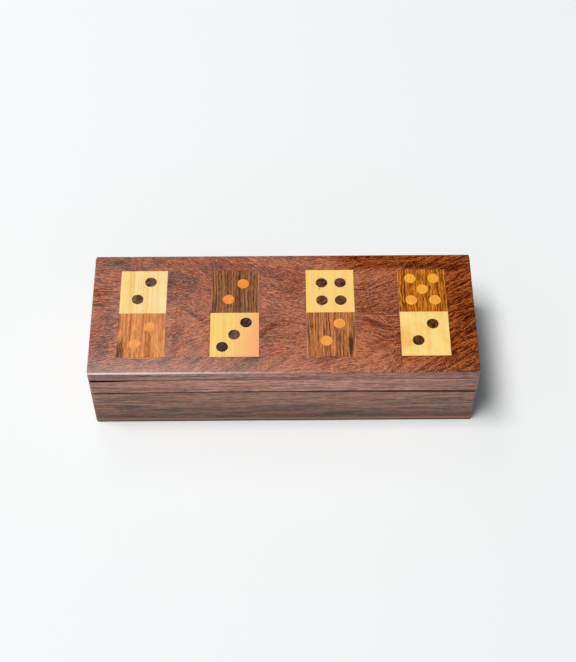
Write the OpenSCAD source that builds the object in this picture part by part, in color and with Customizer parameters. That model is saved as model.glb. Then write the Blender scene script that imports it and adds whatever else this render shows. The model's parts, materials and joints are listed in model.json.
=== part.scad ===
// Hinged wooden box for a set of dominoes. Four dominoes are inlaid in the board of its lid.
// The origin is the middle of the underside, +Z is up, -Y is the front and the hinges are at the back.
// All sizes are in millimetres.

/* [Box] */
// Length of the box, left to right
box_l = 191; // [175:1:230]
// Depth of the box, front to back, without the hinges
box_w = 71.4; // [64:0.1:90]
// Height of the base, from its underside to its rim
base_h = 27.3; // [20:0.1:40]
// Height of the lid's four rails
rail_h = 11.4; // [10:0.1:20]
// Thickness of the board on top of the lid
board_t = 6; // [4.5:0.1:9]
// Thickness of the walls of the base and of the lid's rails
wall_t = 6; // [5.5:0.1:9]
// Gap that shows between the rim of the base and the rim of the lid
seam_gap = 0.3; // [0.2:0.1:0.5]
// Radius of the four upright corners
corner_r = 1.8; // [0.5:0.1:2.5]
// Radius of the eased edges, around the top of the lid and around the foot of the base
edge_r = 0.8; // [0.3:0.1:1.5]

/* [Floor] */
// Thickness of the floor
floor_t = 4; // [3:0.1:6]
// How far the floor reaches into the rebate under the walls
rebate_w = 3; // [1.5:0.1:4]

/* [Inlay] */
// Depth of the pockets and thickness of what is let into them
inlay_t = 2.5; // [1.5:0.1:3.5]
// Width of an inlaid domino
domino_w = 24.1; // [22:0.1:27]
// Length of half a domino, which is one square
half_l = 26.1; // [24:0.1:28]
// From the end of the lid to the nearest domino
end_margin = 13.5; // [9:0.5:15]
// Diameter of a pip
pip_d = 5.8; // [4:0.1:6.5]

/* [Hinges] */
// Length of a hinge
hinge_l = 20; // [16:1:26]
// From the end of the box to the middle of the nearest hinge
hinge_inset = 35; // [25:1:45]
// Thickness of a hinge's leaves
leaf_t = 0.8; // [0.6:0.1:1]
// Wood left between a leaf and the inside of the box
leaf_margin = 1; // [0.5:0.1:1.5]
// Diameter of the barrel that the knuckles make
barrel_d = 3.2; // [2.8:0.1:4]
// Diameter of the hinge pin
pin_d = 1.6; // [1.2:0.1:1.8]
// Diameter of a screw's shank
screw_d = 1.6; // [1.2:0.1:1.8]
// Diameter of a screw's countersunk head
head_d = 3; // [2.6:0.1:3.2]
// Length of a screw
screw_l = 7; // [5:0.5:8]
// From the end of a leaf to the nearest screw
screw_inset = 4.5; // [3:0.5:5]

/* [Clearances] */
// Room around each piece that is glued or let into another
glue_gap = 0.05; // [0.02:0.01:0.1]
// Room between the hinge pin and its bore
pin_gap = 0.05; // [0.02:0.01:0.1]
// Room between neighbouring knuckles, and between the barrel and the wood behind it
knuckle_gap = 0.2; // [0.15:0.05:0.3]

/* [Hidden] */
$fn = 48;

// Colours of the woods and of the metal
ROSEWOOD_RED = [0.52, 0.27, 0.19];
ROSEWOOD_BROWN = [0.43, 0.28, 0.22];
PALE_WOOD = [0.95, 0.83, 0.52];
STRIPED_WOOD = [0.56, 0.34, 0.16];
DARK_PIP = [0.22, 0.14, 0.11];
LIGHT_PIP = [0.93, 0.62, 0.26];
FLOOR_WOOD = [0.60, 0.40, 0.28];
BRASS = [0.78, 0.62, 0.30];

// Heights of the box's layers
rim_z = base_h;
lid_z = rim_z + seam_gap;
board_z = lid_z + rail_h;

// The inlaid dominoes, left to right: how many pips the back half and the front half have,
// how far they stand from the middle of their pattern, across and along, and how far the
// hand-drilled pattern lies off the middle of its square
FACES = [
    [[2, [3.1, 5.3], [0.3, 0.8]], [2, [3.5, 5.1], [0.3, -0.1]]],
    [[2, [3.6, 4.8], [0.4, 0.0]], [3, [5.8, 7.2], [-0.2, 0.0]]],
    [[4, [4.7, 5.4], [0.6, -0.3]], [2, [3.3, 5.1], [0.9, 1.2]]],
    [[5, [5.9, 6.7], [0.2, 0.8]], [2, [3.8, 4.9], [0.3, 0.9]]]
];
// How much narrower each domino was cut than the others, and how far it sits off its even place
CUT_NARROWER = [0.8, 0, 0, 0];
SET_ASIDE = [-0.1, -0.8, 0.2, -0.1];
HALVES = ["back", "front"];
domino_pitch = (box_l - 2 * end_margin - domino_w) / (len(FACES) - 1);

// Hinges: the axis lies just behind the back of the box, level with the middle of the seam
SIDES = ["left", "right"];
leaf_w = wall_t - leaf_margin;
barrel_r = barrel_d / 2;
axis_y = box_w / 2 + knuckle_gap + barrel_r;
axis_z = rim_z + seam_gap / 2;
hinge_x = box_l / 2 - hinge_inset;
KNUCKLES = 5;
knuckle_l = (hinge_l - (KNUCKLES - 1) * knuckle_gap) / KNUCKLES;
// How far the rounded-over ends of a pin stand out of its barrel
pin_proud = 0.3;
// Tip of a screw, and the slot across its head
tip_d = screw_d / 4;
tip_l = screw_d;
slot_w = 0.45;
slot_depth = leaf_t / 2;
// Overshoot of a cut past the face that it opens
past = 1;

function square_name(i, j) = str("domino_", i + 1, "_", HALVES[j], "_square");
function pips_name(i, j) = str("domino_", i + 1, "_", HALVES[j], "_pips");
function hinge_name(side, piece) = str(side, "_hinge_", piece);
function side_x(side) = side == "left" ? -hinge_x : hinge_x;

// Squares alternate like a chequerboard, and pale ones have dark pips
function is_pale(i, j) = (i + j) % 2 == 0;
function domino_x(i) = (i - (len(FACES) - 1) / 2) * domino_pitch + SET_ASIDE[i];
function square_w(i) = domino_w - CUT_NARROWER[i];
function square_y(j) = (j == 0 ? 1 : -1) * half_l / 2;

// Where the pips of a face stand, in steps of its spread from the middle of its pattern
function pattern(count) =
    count == 2 ? [[1, 1], [-1, -1]] :
    count == 3 ? [[1, 1], [0, 0], [-1, -1]] :
    count == 4 ? [[-1, 1], [1, 1], [-1, -1], [1, -1]] :
    [[-1, 1], [1, 1], [0, 0], [-1, -1], [1, -1]];
function pip_places(face) = [
    for (p = pattern(face[0])) [p.x * face[1].x + face[2].x, p.y * face[1].y + face[2].y]
];

// Plan of the whole box, a rectangle with rounded corners
module outline(l, w) {
    square([l - 2 * corner_r, w], center = true);
    square([l, w - 2 * corner_r], center = true);
    for (sx = [-1, 1], sy = [-1, 1])
        translate([sx * (l / 2 - corner_r), sy * (w / 2 - corner_r)]) circle(corner_r);
}

// Section through a layer of the box, standing on y = 0, with its two upper corners eased
module eased_section(w, h) {
    translate([-w / 2, 0]) square([w, h - edge_r]);
    translate([edge_r - w / 2, 0]) square([w - 2 * edge_r, h]);
    for (s = [-1, 1]) translate([s * (w / 2 - edge_r), h - edge_r]) circle(edge_r);
}

// A layer of the whole box, eased along its four upper edges
module eased_block(l, w, h) {
    intersection() {
        rotate([90, 0, 90]) linear_extrude(l, center = true) eased_section(w, h);
        rotate([90, 0, 0]) linear_extrude(w, center = true) eased_section(l, h);
    }
}

// One side of a frame, along the front, mitred at both ends to meet its neighbours
module mitred_side(l, w, h) {
    linear_extrude(h) intersection() {
        outline(l, w);
        polygon([
            [-l / 2, -w / 2], [l / 2, -w / 2],
            [l / 2 - wall_t, wall_t - w / 2], [wall_t - l / 2, wall_t - w / 2]
        ]);
    }
}

// One wall of the base: mitred, rebated underneath for the floor, its foot eased outside
module base_wall(l, w) {
    color(ROSEWOOD_BROWN) difference() {
        intersection() {
            mitred_side(l, w, base_h);
            translate([0, 0, base_h]) mirror([0, 0, 1]) eased_block(l, w, base_h);
        }
        translate([0, 0, -past]) linear_extrude(floor_t + past)
            square([l, w] - 2 * (wall_t - rebate_w) * [1, 1], center = true);
    }
}

module base_back_wall() {
    difference() {
        rotate(180) base_wall(box_l, box_w);
        for (s = SIDES) translate([side_x(s), 0, 0]) hinge_recess();
    }
}

// The floor fills the rebate, flush with the foot of the walls
module base_floor() {
    inset = 2 * (wall_t - rebate_w + glue_gap);
    color(FLOOR_WOOD) linear_extrude(floor_t)
        square([box_l - inset, box_w - inset], center = true);
}

// One rail of the lid
module lid_rail(l, w) {
    color(ROSEWOOD_BROWN) translate([0, 0, lid_z]) mitred_side(l, w, rail_h);
}

module lid_back_rail() {
    difference() {
        rotate(180) lid_rail(box_l, box_w);
        for (s = SIDES) translate([side_x(s), 0, 2 * axis_z]) mirror([0, 0, 1]) hinge_recess();
    }
}

// The board glued on the rails, with a pocket for each domino
module lid_board() {
    color(ROSEWOOD_RED) difference() {
        translate([0, 0, board_z]) intersection() {
            linear_extrude(board_t) outline(box_l, box_w);
            eased_block(box_l, box_w, board_t);
        }
        for (i = [0 : len(FACES) - 1])
            translate([domino_x(i), 0, board_z + board_t - inlay_t])
                linear_extrude(inlay_t + past)
                    square([square_w(i), 2 * half_l] + 2 * glue_gap * [1, 1], center = true);
    }
}

// Half a domino: a square let into the board, drilled for its pips
module inlay_square(i, j) {
    color(is_pale(i, j) ? PALE_WOOD : STRIPED_WOOD)
        translate([domino_x(i), square_y(j), board_z + board_t - inlay_t]) difference() {
            linear_extrude(inlay_t) square([square_w(i), half_l], center = true);
            for (p = pip_places(FACES[i][j]))
                translate([p.x, p.y, -past])
                    cylinder(d = pip_d + 2 * glue_gap, h = inlay_t + 2 * past);
        }
}

// The pips of one half: short dowels, sanded flush
module inlay_pips(i, j) {
    color(is_pale(i, j) ? DARK_PIP : LIGHT_PIP)
        translate([domino_x(i), square_y(j), board_z + board_t - inlay_t])
            for (p = pip_places(FACES[i][j]))
                translate([p.x, p.y, 0]) cylinder(d = pip_d, h = inlay_t);
}

// What follows has the hinge's axis along X through the middle of the hinge, and the leaf
// of the base below it. The leaf of the lid is the same shape turned over, with the knuckles
// that the first one leaves free.
module along_axis(from, to, d) {
    translate([from, 0, 0]) rotate([0, 90, 0]) cylinder(d = d, h = to - from);
}

// Every second knuckle, starting with the first or the second, widened by a clearance
module knuckles(first, room = 0) {
    for (k = [first : 2 : KNUCKLES - 1]) {
        start = k * (knuckle_l + knuckle_gap) - hinge_l / 2;
        along_axis(start - room, start + knuckle_l + room, barrel_d + 2 * room);
    }
}

// Where the two screws go through a leaf
module at_screws() {
    for (s = [-1, 1])
        translate([s * (hinge_l / 2 - screw_inset), box_w / 2 - axis_y - leaf_w / 2, -seam_gap / 2])
            children();
}

// A countersunk screw, or with a clearance the hole for it, head up at z = 0
module screw_body(room = 0) {
    mirror([0, 0, 1]) {
        cylinder(d1 = head_d + 2 * room, d2 = screw_d + 2 * room, h = leaf_t);
        cylinder(d = screw_d + 2 * room, h = screw_l - tip_l);
        translate([0, 0, screw_l - tip_l])
            cylinder(d1 = screw_d + 2 * room, d2 = tip_d + 2 * room, h = tip_l + room);
    }
}

module leaf(first) {
    reach = axis_y - box_w / 2 + leaf_w;
    difference() {
        union() {
            translate([-hinge_l / 2, -reach, -seam_gap / 2 - leaf_t])
                cube([hinge_l, reach, leaf_t]);
            knuckles(first);
        }
        knuckles(1 - first, knuckle_gap);
        along_axis(-hinge_l / 2 - past, hinge_l / 2 + past, pin_d + 2 * pin_gap);
        at_screws() screw_body(glue_gap);
    }
}

module hinge_screws() {
    at_screws() difference() {
        screw_body();
        translate([-head_d / 2 - past, -slot_w / 2, -slot_depth])
            cube([head_d + 2 * past, slot_w, slot_depth + past]);
    }
}

module hinge_pin() {
    along_axis(-hinge_l / 2, hinge_l / 2, pin_d);
    for (s = [-1, 1]) translate([s * hinge_l / 2, 0, 0]) rotate([0, s * 90, 0])
        cylinder(d1 = pin_d, d2 = pin_d - pin_proud, h = pin_proud);
}

// What is cut from the rim of the base for one leaf and its screws, at the hinge's own place in X
module hinge_recess() {
    recess_l = hinge_l + 2 * glue_gap;
    recess_w = leaf_w + glue_gap;
    translate([-recess_l / 2, box_w / 2 - recess_w, rim_z - leaf_t])
        cube([recess_l, recess_w + past, leaf_t + past]);
    translate([0, axis_y, axis_z]) at_screws() screw_body(glue_gap);
}

// One piece of the hinge on one side, in its place on the box
module hinge_piece(side, piece) {
    color(BRASS) translate([side_x(side), axis_y, axis_z]) {
        if (piece == "base_leaf") leaf(0);
        if (piece == "lid_leaf") mirror([0, 0, 1]) leaf(1);
        if (piece == "pin") hinge_pin();
        if (piece == "base_screws") hinge_screws();
        if (piece == "lid_screws") mirror([0, 0, 1]) hinge_screws();
    }
}

base_wall(box_l, box_w);  // base_front_wall
base_back_wall();
rotate(-90) base_wall(box_w, box_l);  // base_left_wall
rotate(90) base_wall(box_w, box_l);  // base_right_wall
base_floor();
lid_board();
lid_rail(box_l, box_w);  // lid_front_rail
lid_back_rail();
rotate(-90) lid_rail(box_w, box_l);  // lid_left_rail
rotate(90) lid_rail(box_w, box_l);  // lid_right_rail
for (i = [0 : len(FACES) - 1], j = [0 : 1]) {
    inlay_square(i, j);
    inlay_pips(i, j);
}
for (s = SIDES, piece = ["base_leaf", "lid_leaf", "pin", "base_screws", "lid_screws"])
    hinge_piece(s, piece);
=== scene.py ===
import json
from math import cos, radians, sin, tau

import bmesh
import bpy
from mathutils import Matrix, Vector

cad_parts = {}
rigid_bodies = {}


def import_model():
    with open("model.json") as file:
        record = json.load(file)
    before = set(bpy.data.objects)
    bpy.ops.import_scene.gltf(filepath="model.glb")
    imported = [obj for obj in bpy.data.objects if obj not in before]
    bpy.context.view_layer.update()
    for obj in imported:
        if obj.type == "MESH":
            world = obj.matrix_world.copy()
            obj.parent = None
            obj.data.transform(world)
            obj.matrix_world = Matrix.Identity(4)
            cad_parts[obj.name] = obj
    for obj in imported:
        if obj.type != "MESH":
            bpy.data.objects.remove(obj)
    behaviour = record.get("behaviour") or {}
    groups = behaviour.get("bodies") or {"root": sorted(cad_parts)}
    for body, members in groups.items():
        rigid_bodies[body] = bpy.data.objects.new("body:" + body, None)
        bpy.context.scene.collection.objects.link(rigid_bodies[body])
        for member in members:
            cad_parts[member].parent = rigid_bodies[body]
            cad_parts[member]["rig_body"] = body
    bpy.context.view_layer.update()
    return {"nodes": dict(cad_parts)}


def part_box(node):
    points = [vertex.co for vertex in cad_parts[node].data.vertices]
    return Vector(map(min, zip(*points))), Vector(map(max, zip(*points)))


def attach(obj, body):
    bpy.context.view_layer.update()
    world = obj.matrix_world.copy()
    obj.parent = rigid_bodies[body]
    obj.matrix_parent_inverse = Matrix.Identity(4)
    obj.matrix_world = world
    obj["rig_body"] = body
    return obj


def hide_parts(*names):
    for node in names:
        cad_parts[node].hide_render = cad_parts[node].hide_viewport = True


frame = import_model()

# Walls of the base. Four rosewood boards, mitred and glued at the corners, whose streaks run
# along the length of each board. The whole case was glued up shut and then sawn open by hand, so
# along the front the sawn rim rises a little towards the middle.
MM = 0.001
SEAM_BOW = 1.0  # mm that the rim stands higher in the middle of the front than at its ends
SEAM_TIGHT = 0.3  # mm of open seam at the left end of the front
SEAM_WIDE = 1.0  # mm of open seam at the right end of the front
SEAM_WIDENS = (-0.2, 0.7)  # where it widens, in half lengths from the middle
SEAM_DROP = 0.3  # mm that the saw ran lower than marked
BOWED_FROM = 0.6  # share of the front wall's height from which it follows the saw's line
FOOT_REACH = 0.9  # mm of the wall's foot that is eased
FOOT_KEPT = 0.5  # how much of that ease the front wall has
SAW_STEP = 4.0  # mm between the places where a bowed rim is shaped
WALL_EASE = 0.18  # mm taken off a wall's sharp edges with sandpaper
STREAK_STEPS = 4  # specks each way that make up a streak
WALL_TONES = ((114, 84, 75), (164, 119, 102), (204, 148, 122))  # dark, middle and light streaks
SHADED_UP = (1.0, 24.0)  # mm up the wall, between which it gets lighter
BARE_UP = (3.8, 2.6)  # mm up the wall, between which its foot is rubbed barer
CONTACT_SHADOW_UP = (1.7, 0.9)  # mm up the wall, between which it gets darker: a painted contact shadow
WORN_SPAN = (30.0, 90.0)  # mm from a board's middle, between which it gets more worn
RIM_SHADE_UP = (-0.4, -0.2)  # mm above the saw's line, between which the painted shade in the seam begins
RIM_SHADED, RIM_UNSHADED = 0.9, 1.5  # mm in from the front, between which it ends
# What the wood is tinted with: cool and warm fibres, warm bands, dark threads, open pores, dark
# clouds, the darker foot (partly darker wood, partly painted shade) with the painted contact shadow
# along its lowest line, and the worn ends of a board
COOL_FIBRE, WARM_FIBRE, WARM_BAND = (212, 222, 240), (255, 232, 212), (255, 238, 220)
DARK_THREAD, OPEN_PORE, DARK_CLOUD = (176, 150, 146), (170, 150, 140), (170, 186, 206)
FOOT_SHADE, FOOT_CONTACT_SHADOW, WORN_END = (170, 168, 168), (128, 112, 108), (214, 212, 212)
# The barer line at the foot, and the red-brown of painted shade in open joints and the seam, with
# the glue line
BARE_LINE, JOINT_GLUE_AND_SHADE = (182, 122, 90), (78, 20, 8)
# Dark clouds in the front wall: middle along X and Z, length and width in mm, lean and depth
FRONT_STAINS = (
    (-76, 14, 8, 1.5, 4, 1.0), (-58, 11, 7, 1.0, -6, 0.8), (30, 8, 10, 1.8, 3, 1.0),
    (12, 14, 8, 1.1, -4, 0.9), (60, 16, 12, 0.9, 2, 0.6), (-18, 9, 9, 0.9, 3, 0.6),
    (-85, 20, 7, 1.2, 3, 0.7), (44, 6, 9, 1.2, 2, 0.7), (-2, 12, 16, 3.0, 0, 0.4),
)

nodes = frame["nodes"]
wall_low, wall_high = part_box("base_front_wall")
rail_low, rail_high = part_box("lid_front_rail")
half_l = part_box("lid_board")[1].x / MM
front_y = wall_low.y / MM
rim_z, lid_z = wall_high.z / MM, rail_low.z / MM
cuts = [i * SAW_STEP for i in range(-int(half_l / SAW_STEP), int(half_l / SAW_STEP) + 1)]


def smooth(low, high, t):
    """Runs from 0 at low to 1 at high, without a kink, for a number or a tone."""
    if isinstance(t, Tone):
        return t.rise(low, high)
    t = min(max((t - low) / (high - low), 0.0), 1.0)
    return t * t * (3 - 2 * t)


def stain(red, green, blue):
    """A colour that is given from 0 to 255 on a screen, as a shader's socket takes it."""
    return tuple(((c / 255 + 0.055) / 1.055) ** 2.4 if c > 10 else c / 255 / 12.92
                 for c in (red, green, blue)) + (1.0,)


class Tone:
    """A value, a colour or a direction that varies over a finish. Sums on it add the nodes."""

    def __init__(self, recipe, socket):
        self.recipe, self.socket = recipe, socket

    def work(self, operation, *others):
        pair = [self, *others]
        vector = any(isinstance(t, Tone) and t.socket.type == "VECTOR" for t in pair)
        kind = "ShaderNodeVectorMath" if vector else "ShaderNodeMath"
        return self.recipe.make(kind, {"operation": operation}, dict(enumerate(pair)))

    def __add__(self, other):
        return self.work("ADD", other)

    def __radd__(self, other):
        return self.work("ADD", other)

    def __sub__(self, other):
        return self.work("SUBTRACT", other)

    def __rsub__(self, other):
        vector = self.socket.type == "VECTOR"
        kind = "ShaderNodeVectorMath" if vector else "ShaderNodeMath"
        return self.recipe.make(kind, {"operation": "SUBTRACT"}, {0: other, 1: self})

    def __mul__(self, other):
        return self.work("MULTIPLY", other)

    def __rmul__(self, other):
        return self.work("MULTIPLY", other)

    def __truediv__(self, other):
        return self.work("DIVIDE", other)

    def at_least(self, other):
        return self.work("MAXIMUM", other)

    def at_most(self, other):
        return self.work("MINIMUM", other)

    def size(self):
        return self.work("ABSOLUTE")

    def rise(self, low, high):
        """Runs from 0 where this is low to 1 where it is high, without a kink."""
        return self.recipe.make("ShaderNodeMapRange", {"interpolation_type": "SMOOTHSTEP"},
                                {"Value": self, "From Min": low, "From Max": high})


class Recipe:
    """The nodes that a finish, or the light all round, is worked out with. A plain colour is
    given as red, green and blue from 0 to 255."""

    def __init__(self, tree):
        self.tree = tree

    def make(self, kind, settings={}, sockets={}, out=0):
        """Any node: its settings first, then the values or links of its sockets."""
        node = self.tree.nodes.new(kind)
        for key, value in settings.items():
            if key == "stops":
                ramp = node.color_ramp
                while len(ramp.elements) < len(value):
                    ramp.elements.new(1.0)
                for element, (place, colour) in zip(ramp.elements, value):
                    element.position, element.color = place, colour
            else:
                setattr(node, key, value)
        for key, value in sockets.items():
            self.fill(node.inputs[key], value)
        return Tone(self, node.outputs[out])

    def fill(self, socket, value):
        if isinstance(value, Tone):
            self.tree.links.new(value.socket, socket)
        elif socket.type == "VECTOR" and isinstance(value, (int, float)):
            socket.default_value = (value, value, value)
        else:
            socket.default_value = value

    def point(self, x, y, z):
        return self.make("ShaderNodeCombineXYZ", {}, {0: x, 1: y, 2: z})

    def noise(self, where, scale, detail, roughness):
        return self.make("ShaderNodeTexNoise", {}, {
            "Vector": where, "Scale": scale, "Detail": detail, "Roughness": roughness})

    def cloud(self, x, y, z, detail=1, roughness=0.5):
        """Soft irregular patches, from 0 to 1 and mostly near a half."""
        return self.noise(self.point(x, y, z), 1.0, detail, roughness)

    def patches(self, x, y, z, detail=1, roughness=0.5):
        """The same about 0, to be added to other patches."""
        return self.cloud(x, y, z, detail, roughness) - 0.5

    def drawn(self, here, heading, grain, reach):
        """Specks grain mm across, drawn out to streaks for reach mm either way along a heading.
        reach is a number or a tone. Mostly within 1 of 0."""
        total = 0.0
        for step in range(-STREAK_STEPS, STREAK_STEPS + 1):
            there = here + heading * (reach * step / STREAK_STEPS)
            total = self.noise(there, 1 / grain, 0, 0.5) + total
        return (total / (2 * STREAK_STEPS + 1) - 0.5) * 18

    def stains(self, u, v, fray, places):
        """Patches with frayed rims. Each place: middle, length and width in mm, lean in degrees
        and depth."""
        total = 0.0
        for middle_u, middle_v, long, wide, lean, depth in places:
            c, s = cos(radians(lean)), sin(radians(lean))
            along = ((u - middle_u) * c + (v - middle_v) * s) / long
            aside = ((v - middle_v) * c - (u - middle_u) * s) / wide
            total = (along * along + aside * aside + fray).rise(1.9, 0.0) * depth + total
        return total.at_most(0.95)

    def mix(self, blend_type, share, first, second):
        first, second = [c if isinstance(c, Tone) else stain(*c) for c in (first, second)]
        return self.make("ShaderNodeMix", {"data_type": "RGBA", "blend_type": blend_type},
                         {0: share, 6: first, 7: second}, out=2)

    def blend(self, share, first, second):
        return self.mix("MIX", share, first, second)

    def tint(self, share, wood, colour):
        return self.mix("MULTIPLY", share, wood, colour)

    def ramp(self, value, *stops):
        """From colour to colour. Each stop: the value there and the colour."""
        stops = [(place, stain(*colour)) for place, colour in stops]
        return self.make("ShaderNodeValToRGB", {"stops": stops}, {0: value})

    def shaded(self, value, spread, tones):
        """From a dark through a middle to a light tone, which lie spread below, at and above a
        half."""
        return self.ramp(value, *zip((0.5 - spread, 0.5, 0.5 + spread), tones))


class Finish(Recipe):
    """The material of one kind of piece."""

    def __init__(self, name, roughness, specular):
        self.material = bpy.data.materials.new(name)
        self.material.use_nodes = True
        super().__init__(self.material.node_tree)
        self.shade("Roughness", roughness)
        self.shade("Specular IOR Level", specular)

    def shade(self, socket, value):
        self.fill(self.tree.nodes["Principled BSDF"].inputs[socket], value)

    def place(self):
        """Where a point of the piece is in the box's own frame, in mm: three tones."""
        here = self.make("ShaderNodeTexCoord", out="Object") * (1 / MM)
        return [self.make("ShaderNodeSeparateXYZ", {}, {0: here}, out=axis) for axis in range(3)]

    def raise_by(self, height, depth):
        """The fine relief of the surface: depth in mm where height is 1."""
        self.shade("Normal", self.make("ShaderNodeBump", {}, {
            "Strength": 1.0, "Distance": depth * MM, "Height": height}))


def seam_open(x):
    """How wide the seam gapes at x along the front, in mm."""
    tight, wide = [share * half_l for share in SEAM_WIDENS]
    return SEAM_TIGHT + (SEAM_WIDE - SEAM_TIGHT) * smooth(tight, wide, x)


def saw_line(x, side):
    """The height of the rim, side -1, or of the lid's lower edge, side 1, along the front."""
    share = x / half_l
    return (rim_z + lid_z) / 2 + SEAM_BOW * (1 - share * share) - SEAM_DROP + seam_open(x) * side / 2


def side_wood(name, lengthwise, tones, seed, foot=0.0, stains=(), joint=None, worn_ends=0.0):
    """Brown rosewood, streaked along the board. lengthwise is the axis along it, 0 or 1; tones
    are its dark, middle and light streaks; foot is how much darker it gets towards the table,
    partly darker wood and partly painted shade, with a painted contact shadow at the very bottom;
    stains are dark clouds in it; joint says how near a point is to an open joint, where painted
    shade darkens it, with a glue line along a rail's top; worn_ends is how much greyer it is towards
    its ends."""
    finish = Finish(name, roughness=0.5, specular=0.25)
    x, y, z = finish.place()
    along, through = (x, y) if lengthwise == 0 else (y, x)
    sway = finish.patches(along * 0.022, z * 0.06, through * 0.1 + seed)
    level = z + sway * 8.0
    bands = finish.patches(along * 0.01, level * 0.26, through * 0.1 + seed, 2)
    streaks = finish.patches(along * 0.024, level * 0.85, through * 0.5 + seed, 2, 0.6)
    fibres = finish.patches(along * 0.08, level * 1.9, through * 1.5 + seed, 2, 0.7)
    mottle = finish.patches(along * 0.28, z * 1.1, through * 1.1 + seed, 3, 0.7)
    hairs = finish.patches(along * 0.07, level * 3.3, through * 2.0 + seed + 50.0)
    tone = bands + streaks * 0.7 + fibres * 1.2 + mottle * 1.4 + hairs * 1.8 + 0.5
    wood = finish.shaded(tone, 0.38, tones)
    cool = finish.cloud(along * 0.16, z * 0.9, through + seed + 30.0, 2)
    wood = finish.tint(cool.rise(0.5, 0.68) * 0.8, wood, COOL_FIBRE)
    wood = finish.tint(cool.rise(0.48, 0.34) * 0.8, wood, WARM_FIBRE)
    warm = finish.cloud(along * 0.02, level * 0.4, through * 0.2 + seed + 9.0)
    wood = finish.tint(warm.rise(0.5, 0.75), wood, WARM_BAND)
    threads = finish.cloud(along * 0.03, level * 2.4 + streaks * 1.5, seed + 3.0)
    wood = finish.tint(threads.rise(0.55, 0.68) * 0.6, wood, DARK_THREAD)
    if stains:
        fray = sway * 2.0 + streaks * 2.5
        wood = finish.tint(finish.stains(along, z, fray, stains), wood, DARK_CLOUD)
    if foot:
        # Darker towards the table, partly darker wood and partly painted shade; the lowest line is a
        # painted contact shadow
        wood = finish.tint((1 - z.rise(*SHADED_UP)) * foot, wood, FOOT_SHADE)
        wood = finish.blend(z.rise(*BARE_UP) * 0.7, wood, BARE_LINE)
        wood = finish.tint(z.rise(*CONTACT_SHADOW_UP), wood, FOOT_CONTACT_SHADOW)
    pores = finish.cloud(along * 0.3, z * 4.0, through * 3.0 + seed).rise(0.56, 0.7)
    wood = finish.tint(pores * 0.5, wood, OPEN_PORE)
    if worn_ends:
        wood = finish.tint(along.size().rise(*WORN_SPAN) * worn_ends, wood, WORN_END)
    if joint:
        # Painted shade in an open joint or seam, with the glue line along a rail's top
        wood = finish.blend(joint(x, y, z), wood, JOINT_GLUE_AND_SHADE)
    finish.shade("Base Color", wood)
    finish.shade("Roughness", 0.5 + streaks * 0.3)
    finish.raise_by(fibres * 0.8 - pores * 0.5, 0.05)
    return finish.material


def planed(node, name, ease, shape=None, cuts=()):
    """A copy of a node as the maker left it: its sharp edges eased, and shaped where shape says.
    cuts are the places along X where the copy gets an extra line of points to be shaped at."""
    bm = bmesh.new()
    bm.from_mesh(nodes[node].data)
    bmesh.ops.remove_doubles(bm, verts=bm.verts, dist=1e-6)
    bmesh.ops.dissolve_limit(bm, angle_limit=radians(0.5), verts=bm.verts, edges=bm.edges)
    for x in cuts:
        bmesh.ops.bisect_plane(bm, geom=bm.verts[:] + bm.edges[:] + bm.faces[:],
                               plane_co=(x * MM, 0, 0), plane_no=(1, 0, 0))
    if shape:
        for v in bm.verts:
            v.co = shape(v.co / MM) * MM
    index = {v: i for i, v in enumerate(bm.verts)}
    mesh = bpy.data.meshes.new(name)
    mesh.from_pydata([v.co[:] for v in bm.verts], [],
                     [[index[v] for v in f.verts] for f in bm.faces])
    bm.free()
    piece = bpy.data.objects.new(name, mesh)
    bpy.context.scene.collection.objects.link(piece)
    mesh.shade_smooth()
    bevel = piece.modifiers.new("eased_edges", "BEVEL")
    bevel.width, bevel.segments, bevel.limit_method = ease * MM, 2, "ANGLE"
    bevel.angle_limit, bevel.harden_normals = radians(40), True
    return piece


def paint(piece, material):
    piece.data.materials.clear()
    piece.data.materials.append(material)


def stand_in(piece, node, material):
    """A worked piece takes the place of its node and swings or stays with it."""
    paint(piece, material)
    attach(piece, nodes[node]["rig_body"])
    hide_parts(node)


def sawn_rim(p):
    """Brings the rim of the front wall to the line of the saw, and sharpens the wall's foot."""
    share = smooth(rim_z * BOWED_FROM, rim_z, p.z)
    foot = FOOT_KEPT if p.z < FOOT_REACH and p.y - front_y < FOOT_REACH else 1.0
    y = front_y + (p.y - front_y) * foot
    return Vector((p.x, y, p.z * foot + share * (saw_line(p.x, -1) - rim_z)))


def under_seam(x, y, z):
    """The outer edge of the sawn rim, inside the seam: painted shade."""
    inwards = y.rise(front_y + RIM_SHADED, front_y + RIM_UNSHADED)
    return (z - saw_line(x, -1)).rise(*RIM_SHADE_UP) * (1 - inwards)


front_wall = planed("base_front_wall", "front_wall", WALL_EASE, sawn_rim, cuts)
# The front wall's rim is painted darker inside the seam: painted shade
stand_in(front_wall, "base_front_wall",
         side_wood("front_wall_wood", 0, WALL_TONES, 0.0, 0.9, FRONT_STAINS, under_seam))
for seed, side, lengthwise in ((11.0, "back", 0), (23.0, "left", 1), (37.0, "right", 1)):
    wall = planed(f"base_{side}_wall", f"{side}_wall", WALL_EASE)
    stand_in(wall, f"base_{side}_wall",
             side_wood(f"{side}_wall_wood", lengthwise, WALL_TONES, seed, 0.6))

# Floor of the base. A plain sanded panel, let into the rebate under the walls and glued there;
# its underside is the face that the box stands on.
FLOOR_EASE = 0.1  # mm
FLOOR_TONES = ((138, 92, 62), (176, 126, 88), (202, 156, 114))
FLOOR_PORE = (176, 150, 130)


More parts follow.
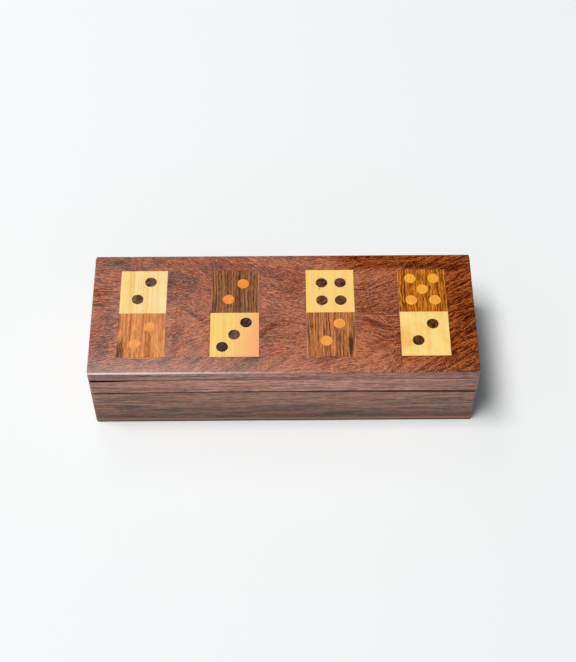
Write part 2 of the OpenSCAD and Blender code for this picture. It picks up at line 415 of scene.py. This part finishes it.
def floor_wood():
    finish = Finish("floor_panel_wood", roughness=0.6, specular=0.2)
    x, y, z = finish.place()
    sway = finish.patches(x * 0.012, y * 0.03, z * 0.02)
    level = y + sway * 18.0
    bands = finish.patches(x * 0.008, level * 0.13, z * 0.1, 2)
    lines = finish.patches(x * 0.012, level * 0.7, z * 0.5, 2)
    fibres = finish.patches(x * 0.12, level * 2.6, z * 2.0, 2)
    wood = finish.shaded(bands * 1.2 + lines * 1.1 + fibres * 0.8 + 0.5, 0.35, FLOOR_TONES)
    pores = finish.cloud(x * 0.25, y * 3.6, z * 2.0 + 5.0).rise(0.58, 0.7)
    wood = finish.tint(pores * 0.5, wood, FLOOR_PORE)
    finish.shade("Base Color", wood)
    finish.shade("Roughness", 0.6 + lines * 0.2)
    finish.raise_by(fibres - pores * 0.5, 0.05)
    return finish.material


floor_panel = planed("base_floor", "floor_panel", FLOOR_EASE)
stand_in(floor_panel, "base_floor", floor_wood())

# Rails of the lid. Four strips of the same rosewood, sawn off the same boards as the walls, mitred
# and glued under the lid's board. At the left end of the front the glue has let go, and a thin
# wedge stands open between rail and board.
RAIL_TONES = ((140, 100, 89), (196, 141, 121), (234, 174, 146))
RAIL_BOWED = 5.0  # mm up from the sawn edge over which the front rail loses its bow
RAIL_SINKS = 6.0  # mm up from the sawn edge from which it sinks away under the open joint
GLUE_GAP = 1.2  # mm that the open joint gapes at the left end
GLUE_GAP_FULL = 8.0  # mm from the left end over which it gapes fully
GLUE_GAP_REACH = 30.0  # mm that it runs in from the left end
GLUE_LINE_AND_SHADE_UP = (-0.5, -0.15)  # mm above the rail's top, between which the glue line and the painted shade of the open joint begin


def glue_gape(x):
    return GLUE_GAP * (1 - smooth(GLUE_GAP_FULL - half_l, GLUE_GAP_REACH - half_l, x))


def sawn_rail(p):
    """Brings the rail's lower edge to the line of the saw and opens the joint above it."""
    share = 1 - smooth(lid_z, lid_z + RAIL_BOWED, p.z)
    top = smooth(lid_z + RAIL_SINKS, rail_high.z / MM, p.z)
    return Vector((p.x, p.y, p.z + share * (saw_line(p.x, 1) - lid_z) - top * glue_gape(p.x)))


def under_board(x, y, z):
    """The top of the rail: a thin dark glue line, and painted shade where the joint stands open."""
    top = rail_high.z / MM - glue_gape(x)
    return (z - top).rise(*GLUE_LINE_AND_SHADE_UP) * (glue_gape(x) / GLUE_GAP * 0.6 + 0.4)


front_rail = planed("lid_front_rail", "front_rail", WALL_EASE, sawn_rail, cuts)
stand_in(front_rail, "lid_front_rail",
         side_wood("front_rail_wood", 0, RAIL_TONES, 51.0, joint=under_board, worn_ends=0.7))
for seed, side, lengthwise in ((63.0, "back", 0), (77.0, "left", 1), (85.0, "right", 1)):
    rail = planed(f"lid_{side}_rail", f"{side}_rail", WALL_EASE)
    stand_in(rail, f"lid_{side}_rail",
             side_wood(f"{side}_rail_wood", lengthwise, RAIL_TONES, seed))

# Board of the lid. One wide piece of red rosewood with wild, curling grain, glued over the rails
# and rounded along its edges; the dominoes are let into pockets in its face.
top_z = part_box("lid_board")[1].z / MM
LEAN_SPAN = 60  # degrees either way within which the grain leans
# Which way the grain leans, in degrees, at places along the board: behind its middle line, in
# front of it, and along its front edge
LEAN_BEHIND = ((-95, -4), (-60, -10), (-42, -34), (-22, -22), (6, -14), (28, 2), (48, 16), (95, 26))
LEAN_BEFORE = ((-95, 12), (-80, 24), (-48, 36), (-14, 18), (2, -6), (16, -32), (30, 4), (47, -26),
               (62, 10), (95, 38))
LEAN_FRONT = ((-95, 8), (-60, 20), (-20, 34), (8, 6), (28, 20), (60, 30), (95, 34))
ROPE_LEAN = 34  # degrees that the long dark ropes of grain lean at the right end
# Purple-grey clouds in the wood: middle, length and width in mm, lean in degrees and depth
COOL_CLOUDS = (
    (-88, 32, 11, 4, -6, 0.35), (-80, 28.5, 6, 2.4, -24, 0.4), (-56, 30, 36, 5, -2, 0.25),
    (-57, 13, 10, 3.4, 86, 0.65), (-48, 15, 8, 6, -30, 0.5), (-49, 3, 11, 1.8, -38, 0.4),
    (-53, -18, 12, 1.8, 70, 0.45), (-91, -27, 8, 4, 70, 0.6), (-20, -31, 8, 3.4, 30, 0.6),
    (-45, -1, 6, 0.9, -40, 0.5), (-82, -30, 7, 2.4, 40, 0.3),
)
# Deep brown clouds, pale fields, the lined patch at the left end, and spots of filler along the
# squares' edges, in the same way
DEEP_CLOUDS = (
    (70, 28.5, 24, 2.0, -2, 0.6), (88, 31, 9, 3, 20, 0.3), (-9, -11, 6, 2.0, 40, 0.8),
    (41, 4, 6, 4, 10, 0.6), (61, -9, 4, 12, 0, 0.6), (91, 2, 4, 12, 0, 0.4),
    (20, -28, 6, 3, 20, 0.5), (2, 14, 6, 5, 0, 0.3), (-24, 30, 8, 2.0, -20, 0.25),
    (-91, -10, 18, 5, 86, 0.3), (82, -28, 7, 3, 20, 0.5), (47, -8, 8, 1.6, -26, 0.7),
    (49, 2, 8, 1.3, 22, 0.6), (50, -16, 8, 1.4, 24, 0.6), (47, -21, 9, 1.2, 26, 0.5),
)
PALE_FIELDS = (
    (46, 22, 14, 3.5, 8, 0.9), (82, 21, 6, 4, 80, 1.0), (41, -15, 5, 6, 0, 1.3),
    (43, -24, 12, 5, 10, 1.3), (36, -31, 14, 4, 4, 1.6), (62, -31, 16, 4, 4, 0.9),
    (9, -22, 12, 9, 0, 0.8), (2, -31, 18, 5, 0, 0.9), (-1, 3, 12, 4, -10, 0.8),
    (-83, 7, 8, 8, 0, 0.9), (-61, -10, 6, 12, 0, 1.4), (-46, -14, 5, 14, 0, 1.1),
    (-58, 4, 6, 5, 0, 0.9), (-48, 5, 6, 5, 0, 0.8), (20, 29, 9, 3, 0, 0.8),
    (-40, -22, 5, 5, 0, 0.7), (0, 32, 14, 3, 0, 0.7), (12, -4, 10, 5, 0, 0.6),
    (84, 0, 3, 18, 0, 0.9), (-60, -18, 5, 9, 0, 0.7),
)
LINED_PATCH = ((-88, 9.5, 14, 7, 0, 1.0),)
CHIPS = ((-82.2, -5.6, 0.35, 0.7, 0, 0.55), (-82.3, -14.3, 0.35, 0.6, 0, 0.5),
         (-11.0, -9.5, 0.35, 0.8, 0, 0.6))
# The wood's tones where it is plain, at the left, and where it is rich, at the right, and how
# rich it is along the board
PLAIN_TONES = ((0.05, (106, 63, 51)), (0.38, (158, 97, 77)), (0.6, (185, 115, 90)),
               (0.95, (224, 148, 115)))
RICH_TONES = ((0.05, (54, 8, 1)), (0.36, (104, 36, 4)), (0.6, (144, 64, 18)),
              (0.95, (190, 106, 52)))
RICHNESS = ((0.0, (0, 0, 0)), (0.45, (128, 128, 128)), (0.75, (198, 198, 198)),
            (0.92, (254, 254, 254)))
# What the face is tinted with: its clouds, its cool and warm tinge, its cool and warm fibres and
# # the lines of the lined patch; and the painted sheen it is lightened to in front at the left,
# where plain and where rich
COOL_CLOUD, DEEP_CLOUD, LINE_DARK = (160, 186, 208), (180, 146, 104), (166, 130, 118)
COOL_TINGE, WARM_TINGE = (206, 224, 240), (255, 238, 222)
COOL_HUE, WARM_HUE = (206, 214, 232), (255, 226, 200)
SHEEN_PLAIN, SHEEN_RICH, FILLER = (228, 206, 198), (236, 160, 120), (190, 156, 134)
EDGE_TONES = ((118, 88, 84), (164, 122, 115), (204, 154, 142))
EDGE_END, EDGE_FOOT, EDGE_GLUE_AND_SHADE = (222, 224, 226), (236, 196, 172), (110, 40, 30)
ARRIS_HIGHLIGHT = (252, 234, 226)
GRAIN_BEHIND = (-7.0, 2.0)  # mm along Y, between which the grain behind takes over
GRAIN_FRONT = (-22.0, -28.0)  # mm along Y, between which the grain along the front edge does
# How far below the board's top, in mm, the face begins, the edges get warmer, the glue line with
# # painted shade begins, the painted highlight on the arris begins and the coat begins, each from
# nothing to full
FACE_DOWN, EDGE_FOOT_DOWN, GLUE_AND_SHADE_DOWN = (0.7, 0.2), (5.3, 5.7), (5.5, 6.0)
ARRIS_DOWN, COAT_DOWN = (0.7, 0.45), (0.8, 0.5)
ARRIS_OUT, ARRIS_FULL = 1.2, 0.6  # mm in from the front, between which the painted highlight on the arris comes in
EDGE_WORN_SPAN = (45.0, 95.0)  # mm from the middle, between which the edges get more worn


def lean_along(finish, x, places):
    """The grain's lean at x, in radians, from a table of places along the board."""
    stops = [((place / half_l + 1) / 2, ((lean / LEAN_SPAN + 1) / 2,) * 3 + (1.0,))
             for place, lean in places]
    grey = finish.make("ShaderNodeValToRGB", {"stops": stops}, {0: (x + half_l) / (2 * half_l)})
    share = finish.make("ShaderNodeSeparateColor", {}, {0: grey})
    return share * radians(2 * LEAN_SPAN) - radians(LEAN_SPAN)


def below_top(z, span):
    """Runs from 0 to 1 between two depths below the board's top."""
    return z.rise(top_z - span[0], top_z - span[1])


def board_face(finish, x, y, z, sway):
    """The colour of the board's face, with a painted sheen along its front at the left, and the
    relief of its fibres.
    """
    behind = (y + sway * 16.0).rise(*GRAIN_BEHIND)
    edge = y.rise(*GRAIN_FRONT)
    lean = (lean_along(finish, x, LEAN_BEFORE) * (1 - edge)
            + lean_along(finish, x, LEAN_FRONT) * edge)
    lean = lean_along(finish, x, LEAN_BEHIND) * behind + lean * (1 - behind) + sway * 1.8
    heading = finish.point(lean.work("COSINE"), lean.work("SINE"), 0.0)

    def streaks(grain, reach, seed):
        return finish.drawn(finish.point(x, y, z * 0.3 + seed), heading, grain, reach)

    flow = x.rise(6.0, 60.0)
    pores = streaks(0.34, 0.5, 0.0)
    fine = streaks(0.5, flow + 1.4, 20.0)
    broad = streaks(1.1, flow * 1.6 + 3.8, 40.0)
    bands = finish.patches(x * 0.06 + lean, y * 0.12 - lean, z * 0.02, 3)
    wild = x.rise(-20.0, 92.0)
    near = 1.35 - behind * 0.35
    tone = pores * 0.17 + fine * (wild * 0.15 + 0.14) * near + broad * (wild * 0.13 + 0.06) * near
    tone = tone + bands * 0.45 + x.rise(14.0, 36.0) * (1 - x.rise(56.0, 78.0)) * 0.06
    fray = sway * 3.0 + fine * 0.5
    tone = tone + 0.52 + finish.stains(x, y, fray, PALE_FIELDS) * 0.2
    c, s = cos(radians(ROPE_LEAN)), sin(radians(ROPE_LEAN))
    along = x * c + y * s
    across = y * c - x * s + sway * 5.0 + bands * 3.0
    ropes = finish.patches(along * 0.045, across * 0.62, z * 0.2 + 90.0)
    tone = tone + ropes * (x.rise(36.0, 60.0) * 0.6 + x.rise(76.0, 84.0) * 0.7)
    grey = finish.ramp((x + half_l) / (2 * half_l), *RICHNESS)
    rich = finish.make("ShaderNodeSeparateColor", {}, {0: grey})
    rich = rich.at_least(x.rise(10.0, 36.0) * y.rise(23.0, 29.0))
    wood = finish.blend(rich, finish.ramp(tone, *PLAIN_TONES), finish.ramp(tone, *RICH_TONES))
    wood = finish.tint(finish.stains(x, y, fray, COOL_CLOUDS), wood, COOL_CLOUD)
    wood = finish.tint(finish.stains(x, y, fray, DEEP_CLOUDS), wood, DEEP_CLOUD)
    tinge = finish.cloud(x * 0.1, y * 0.16, 31.0, 2)
    plainly = 1 - x.rise(-30.0, 60.0)
    wood = finish.tint(tinge.rise(0.48, 0.66) * plainly * 0.8, wood, COOL_TINGE)
    wood = finish.tint(tinge.rise(0.5, 0.36) * plainly * 0.6, wood, WARM_TINGE)
    hue = streaks(0.7, 0.8, 60.0)
    wood = finish.tint(hue.rise(0.1, 1.1) * 0.7, wood, COOL_HUE)
    wood = finish.tint(hue.rise(-0.1, -1.1) * 0.6, wood, WARM_HUE)
    # Painted sheen: the front strip is lightened, most at the left
    sheen = (1 - y.rise(-36.0, -20.0)) * (0.19 - x.rise(-60.0, 20.0) * 0.13)
    wood = finish.blend(sheen, wood, finish.blend(rich, SHEEN_PLAIN, SHEEN_RICH))
    lines = finish.cloud(x * 0.07, y * 1.3 + sway * 2.0, 7.0).rise(0.5, 0.62)
    wood = finish.tint(lines * finish.stains(x, y, 0.0, LINED_PATCH), wood, LINE_DARK)
    wood = finish.blend(finish.stains(x, y, 0.0, CHIPS), wood, FILLER)
    return wood, fine * 0.5 + pores * 0.5


def board_edge(finish, x, y, z, sway):
    """The colour of the board's edges, which are streaked along the board."""
    level = z + sway * 3.0
    bands = finish.patches(x * 0.02, level * 0.5, y * 0.2, 2)
    streaks = finish.patches(x * 0.05, level * 1.5, y * 0.7, 3)
    mottle = finish.patches(x * 0.28, z * 1.1, y * 1.1, 3, 0.7)
    wood = finish.shaded(bands + streaks + mottle * 1.5 + 0.5, 0.35, EDGE_TONES)
    wood = finish.tint(x.size().rise(*EDGE_WORN_SPAN) * 0.7, wood, EDGE_END)
    return finish.tint(below_top(z, EDGE_FOOT_DOWN), wood, EDGE_FOOT)


def board_wood():
    """Red rosewood, oiled; its coat shines most at the front left. The glue line shows at its
    foot, with painted shade where the joint stands open, and its front arris has a painted
    highlight towards the left."""
    finish = Finish("board_wood", roughness=0.42, specular=0.06)
    x, y, z = finish.place()
    sway = finish.patches(x * 0.08, y * 0.13, z * 0.02)
    face, fibres = board_face(finish, x, y, z, sway)
    edge = board_edge(finish, x, y, z, sway)
    wood = finish.blend(below_top(z, FACE_DOWN), edge, face)
    # Glue line at the board's foot, darkened further by painted shade where the joint gapes
    glue = below_top(z, GLUE_AND_SHADE_DOWN) * (glue_gape(x) / GLUE_GAP + 0.5) * 0.66
    wood = finish.tint(glue, wood, EDGE_GLUE_AND_SHADE)
    front = y.rise(front_y + ARRIS_OUT, front_y + ARRIS_FULL) * (1 - x.rise(-95.0, 30.0))
    arris = below_top(z, ARRIS_DOWN)
    # Painted highlight along the front arris, fading towards the right
    wood = finish.blend(arris * front * 0.6, wood, ARRIS_HIGHLIGHT)
    finish.shade("Base Color", wood)
    upper = below_top(z, COAT_DOWN)
    shine = (1 - x.rise(-95.0, 80.0)) * (1 - y.rise(-40.0, 30.0) * 0.7)
    finish.shade("Coat Weight", shine * upper)
    finish.shade("Coat Roughness", 0.4)
    finish.raise_by(fibres, 0.03)
    return finish.material


paint(nodes["lid_board"], board_wood())

# Squares of the dominoes. Thin squares of wood with the grain across the box, glued side by side
# in the board's pockets and sanded flush: pale yellow ones and striped brown ones by turns.
PINK_FROM, PINK_TO = -15.0, 5.0  # mm past a square's right side, between which it turns pink
WARM_PALE, KNOT = (252, 228, 206), (168, 84, 48)
STRIPE_CLOUD, GLUE_HAIRLINE = (92, 82, 80), (222, 176, 148)
PALE_WIDTH, PALE_ENDS = 4.0, 11.0  # mm past a square's left side, between which it gets darker
HAIRLINE_SPAN = (0.4, 0.2)  # mm from a square's side, between which the glue shows


def pale_square(name, tones, seed, right_tone=None, lined=0.8, blotchy=0.1, specks=(), warm=()):
    """Pale yellow wood with hardly any grain. tones are its dark, middle and light; lined and
    blotchy are how much its lines and blotches show. right_tone is another colour that comes in
    to the right, specks are small brown knots and warm are places with an orange tinge."""
    finish = Finish(name, roughness=0.45, specular=0.2)
    x, y, z = finish.place()
    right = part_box(name)[1].x / MM
    bands = finish.patches(x * 0.4, y * 0.006, z * 0.2 + seed)
    lines = finish.patches(x * 1.5, y * 0.015, z * 0.2 + seed)
    blotches = finish.patches((x + y) * 0.12, (y - x) * 0.07, seed)
    pores = finish.patches(x * 2.2, y * 0.5, z + seed)
    tone = bands * 0.9 + lines * lined + blotches * blotchy * 2.0 + pores * 0.4 + 0.5
    wood = finish.shaded(tone, 0.3, tones)
    if right_tone:
        pink = x - y * 0.2 + lines * 1.5 + blotches * 9.0
        wood = finish.blend(pink.rise(right + PINK_FROM, right + PINK_TO), wood, right_tone)
    if warm:
        wood = finish.tint(finish.stains(x, y, blotches * 3.0, warm), wood, WARM_PALE)
    if specks:
        wood = finish.blend(finish.stains(x, y, pores * 2.0, specks), wood, KNOT)
    finish.shade("Base Color", wood)
    finish.raise_by(pores, 0.02)
    paint(nodes[name], finish.material)


def striped_square(name, tones, pitch, seed, lines, reach, depth, broad, wavy=0.5, comb=0.0,
                   comb_depth=0.0, light_left=0.0, stains=(), glued=()):
    """Brown wood striped across the box. tones are its dark stripes, its ground and its light
    stripes, about pitch mm wide; depth and broad are how much the stripes and the broader bands
    show and wavy is how much they wander; lines is how dark its dark threads are and reach their
    length in mm. comb is the distance of even stripes in mm and comb_depth how much they show.
    light_left makes its left side paler, stains are dark clouds, and glued names the sides where
    a pale hairline of glue shows."""
    finish = Finish(name, roughness=0.45, specular=0.2)
    x, y, z = finish.place()
    left, right = [corner.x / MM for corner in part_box(name)]
    sway = finish.patches(x * 0.1, y * 0.07, z * 0.1 + seed)
    wobble = finish.patches(x * 0.35, y * 0.5, z * 0.1 + seed)
    u = x + sway * 1.6 + wobble * wavy
    bands = finish.patches(u * 0.3, y * 0.02, z * 0.1 + seed)
    stripes = finish.patches(u * 2 / pitch, y * 0.045, z * 0.1 + seed)
    threads = finish.patches(u * 2.4, y * 0.3, z + seed)
    tone = stripes * depth + bands * broad + threads * 0.9 + 0.5
    if comb:
        tone = tone + (u * (tau / comb)).work("SINE") * comb_depth
    if light_left:
        tone = tone + (1 - x.rise(left + PALE_WIDTH, left + PALE_ENDS)) * light_left
    wood = finish.shaded(tone, 0.35, tones)
    dark = finish.cloud(u * 2.0, y / reach, z + seed + 5.0)
    wood = finish.blend(dark.rise(0.55, 0.63) * lines, wood, tones[0])
    if stains:
        fray = sway * 1.5 + threads * 1.5
        wood = finish.tint(finish.stains(x, y, fray, stains), wood, STRIPE_CLOUD)
    for side in glued:
        edge = left if side == "left" else right
        wood = finish.blend((x - edge).size().rise(*HAIRLINE_SPAN) * 0.3, wood, GLUE_HAIRLINE)
    finish.shade("Base Color", wood)
    finish.raise_by(threads, 0.03)
    paint(nodes[name], finish.material)


pale_square("domino_1_back_square", ((240, 186, 102), (251, 211, 136), (254, 228, 172)), 3.0,
            right_tone=(254, 228, 174))
striped_square("domino_1_front_square", ((172, 98, 52), (221, 138, 82), (244, 168, 100)),
               pitch=1.6, seed=5.0, lines=0.5, reach=12.0, depth=1.3, broad=0.8,
               stains=((-82.2, -22, 4.4, 7.0, 0, 0.9), (-82.5, -6, 1.6, 9.0, 0, 0.6)))
striped_square("domino_2_back_square", ((66, 42, 30), (136, 84, 50), (186, 120, 70)),
               pitch=0.8, seed=8.0, lines=0.3, reach=14.0, depth=1.3, broad=0.4, wavy=0.6,
               comb=1.45, comb_depth=0.12, glued=("right",))
pale_square("domino_2_front_square", ((243, 190, 96), (251, 207, 116), (254, 221, 140)), 12.0,
            right_tone=(252, 173, 118))
pale_square("domino_3_back_square", ((250, 194, 104), (254, 207, 122), (255, 216, 136)), 15.0,
            lined=0.4, specks=((18.3, 14.5, 0.9, 0.25, 60, 0.6), (20.8, 9.8, 0.5, 0.3, 0, 0.8),
                               (19.2, 3.9, 0.7, 0.3, 70, 0.7)))
striped_square("domino_3_front_square", ((78, 50, 38), (184, 108, 58), (222, 136, 76)),
               pitch=1.1, seed=18.0, lines=0.85, reach=20.0, depth=1.5, broad=0.6,
               light_left=0.14, stains=((33.0, -19.5, 1.2, 6.5, 0, 1.0),),
               glued=("left", "right"))
striped_square("domino_4_back_square", ((92, 46, 4), (196, 106, 16), (228, 140, 36)),
               pitch=1.6, seed=21.0, lines=0.95, reach=6.0, depth=1.1, broad=0.5, wavy=0.7,
               comb=1.4, comb_depth=0.14, glued=("left",))
pale_square("domino_4_front_square", ((248, 194, 97), (255, 215, 129), (255, 229, 149)), 26.0,
            lined=0.25, blotchy=0.3, warm=((60.5, -15, 4, 6, 0, 0.9),))

# Pips. Short dowels glued into holes through the squares and sanded flush, so that their end grain
# shows: dark wood in the pale squares and orange wood in the striped ones.
BROWN_DOWEL = (66, 44, 36)  # the dark of the one dowel of another wood
DOWEL_IN, DOWEL_OUT = 10.0, 16.0  # mm squared from the middle, inside and outside that dowel


def pip_group(name, tones, lean, seed, brown_middle=None):
    """tones are the dark and light of the grain, lean the way it runs, in degrees. brown_middle is
    the light tone of a dowel of another wood in the middle of the square."""
    finish = Finish(name, roughness=0.45, specular=0.2)
    x, y, z = finish.place()
    c, s = cos(radians(lean)), sin(radians(lean))
    along = x * c + y * s
    across = y * c - x * s
    wobble = finish.patches(x * 0.2, y * 0.2, seed)
    grain = finish.cloud(along * 0.25, across * 1.9 + wobble * 3, seed, 2)
    wood = finish.ramp(grain, (0.46, tones[0]), (0.62, tones[1]))
    if brown_middle:
        low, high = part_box(name)
        middle = (low + high) / (2 * MM)
        dx, dy = x - middle.x, y - middle.y
        brown = finish.ramp(grain, (0.38, BROWN_DOWEL), (0.62, brown_middle))
        wood = finish.blend((dx * dx + dy * dy).rise(DOWEL_OUT, DOWEL_IN), wood, brown)
    finish.shade("Base Color", wood)
    finish.raise_by(grain, 0.02)
    paint(nodes[name], finish.material)


pip_group("domino_1_back_pips", ((44, 30, 27), (150, 110, 82)), 38, 2.0)
pip_group("domino_1_front_pips", ((234, 146, 70), (250, 174, 94)), 80, 4.0)
pip_group("domino_2_back_pips", ((236, 138, 52), (250, 160, 74)), 20, 6.0)
pip_group("domino_2_front_pips", ((34, 24, 22), (92, 72, 62)), 50, 8.0, (134, 92, 66))
pip_group("domino_3_back_pips", ((50, 26, 14), (136, 88, 60)), 30, 10.0)
pip_group("domino_3_front_pips", ((240, 150, 62), (252, 176, 88)), 80, 12.0)
pip_group("domino_4_back_pips", ((238, 160, 50), (253, 182, 68)), 85, 14.0)
pip_group("domino_4_front_pips", ((54, 24, 6), (120, 70, 34)), 100, 16.0)

# Hinges. Two small butt hinges of plain brass, let into the rims behind the box: two leaves, a pin
# and four slotted screws each.
BRASS_TONES = ((170, 134, 84), (206, 172, 112), (228, 198, 140))
BRASS_SPECK = (170, 130, 96)


def hinge_brass():
    """Rolled brass, dulled by age: brushed along the leaves, browner in patches and in specks."""
    finish = Finish("hinge_brass", roughness=0.35, specular=0.5)
    finish.shade("Metallic", 1.0)
    x, y, z = finish.place()
    patches = finish.patches(x * 0.35, y * 0.35, z * 0.35, 3)
    brushed = finish.patches(x * 0.25, y * 5.0, z * 5.0, 2)
    specks = finish.cloud(x * 1.6, y * 1.6, z * 1.6 + 9.0).rise(0.6, 0.72)
    brass = finish.shaded(patches * 1.2 + brushed * 0.5 + 0.5, 0.3, BRASS_TONES)
    finish.shade("Base Color", finish.tint(specks * 0.6, brass, BRASS_SPECK))
    finish.shade("Roughness", 0.36 + patches * 0.35 + specks * 0.15)
    finish.raise_by(brushed, 0.01)
    return finish.material


brass = hinge_brass()
for side in ("left", "right"):
    for part in ("base_leaf", "lid_leaf", "pin", "base_screws", "lid_screws"):
        paint(nodes[f"{side}_hinge_{part}"], brass)

# Camera. It stands in front of the box and looks down on it, at the height and distance that the
# photograph was taken from.
PICTURE_W, PICTURE_H = 576, 662
FOCAL_PX = 1424.5
CAMERA_PITCH, CAMERA_TURN, CAMERA_ROLL = radians(55.82), radians(0.617), radians(0.127)
CAMERA_RANGE, AIM_X, AIM_Y = 0.7461, -0.00241, -0.01608  # m
NEAREST = 0.01  # m from the camera that is still in the picture

view_dir = Vector((sin(CAMERA_TURN) * cos(CAMERA_PITCH), cos(CAMERA_TURN) * cos(CAMERA_PITCH),
                   -sin(CAMERA_PITCH)))
sideways = Vector((cos(CAMERA_TURN), -sin(CAMERA_TURN), 0))
upright = sideways.cross(view_dir)
across = sideways * cos(CAMERA_ROLL) + upright * sin(CAMERA_ROLL)
upward = upright * cos(CAMERA_ROLL) - sideways * sin(CAMERA_ROLL)
camera = bpy.data.objects.new("camera", bpy.data.cameras.new("camera"))
bpy.context.scene.collection.objects.link(camera)
camera.data.lens = FOCAL_PX * camera.data.sensor_width / max(PICTURE_W, PICTURE_H)
camera.data.clip_start = NEAREST
axes = Matrix((across, upward, -view_dir)).transposed()
camera.matrix_world = Matrix.Translation(
    -view_dir * CAMERA_RANGE - across * AIM_X - upward * AIM_Y) @ axes.to_4x4()
bpy.context.scene.camera = camera

# Table top and light: a plain white surface under a soft lamp that hangs above the box, a little to
# the left of it, a small lamp behind on the left, and weak light all round, stronger in front.
TABLE_SIZE = 8.0  # m
TABLE_WHITE = (246, 247, 247)
LAMP_COLOUR = (1.0, 0.979, 0.972)
ROUND_COLOUR = (0.78, 0.95, 1.0, 1.0)
ROUND_STRENGTH = 0.2
ROUND_LEAN = (-0.14, -0.17, 0.0)  # how much stronger towards +X and +Y, so it grows the other way

bpy.ops.mesh.primitive_plane_add(size=TABLE_SIZE)
table = bpy.context.object
table.name = "table_top"
table_finish = Finish("table_white", roughness=0.9, specular=0.0)
table_finish.shade("Base Color", stain(*TABLE_WHITE))
paint(table, table_finish.material)


def lamp(name, place, wide, deep, watts):
    """A soft rectangular lamp that points at the box. Its place and sizes are in m."""
    light = bpy.data.objects.new(name, bpy.data.lights.new(name, "AREA"))
    bpy.context.scene.collection.objects.link(light)
    light.data.shape, light.data.size, light.data.size_y = "RECTANGLE", wide, deep
    light.data.energy = watts
    light.data.color = LAMP_COLOUR
    light.location = place
    light.rotation_euler = (-light.location).to_track_quat("-Z", "Y").to_euler()


lamp("lamp_above", (-1.38, -0.5, 4.1), 2.3, 1.3, 163.0)
lamp("lamp_behind", (-0.24, 0.55, 0.85), 0.35, 0.35, 0.6)

world = bpy.data.worlds.new("room")
bpy.context.scene.world = world
world.use_nodes = True
room = Recipe(world.node_tree)
direction = room.make("ShaderNodeTexCoord", out="Generated")
leaning = room.make("ShaderNodeVectorMath", {"operation": "DOT_PRODUCT"},
                    {0: direction, 1: ROUND_LEAN}, out="Value")
background = world.node_tree.nodes["Background"]
room.fill(background.inputs["Color"], ROUND_COLOUR)
room.fill(background.inputs["Strength"], leaning + ROUND_STRENGTH)
bpy.context.scene.view_settings.view_transform = "Standard"
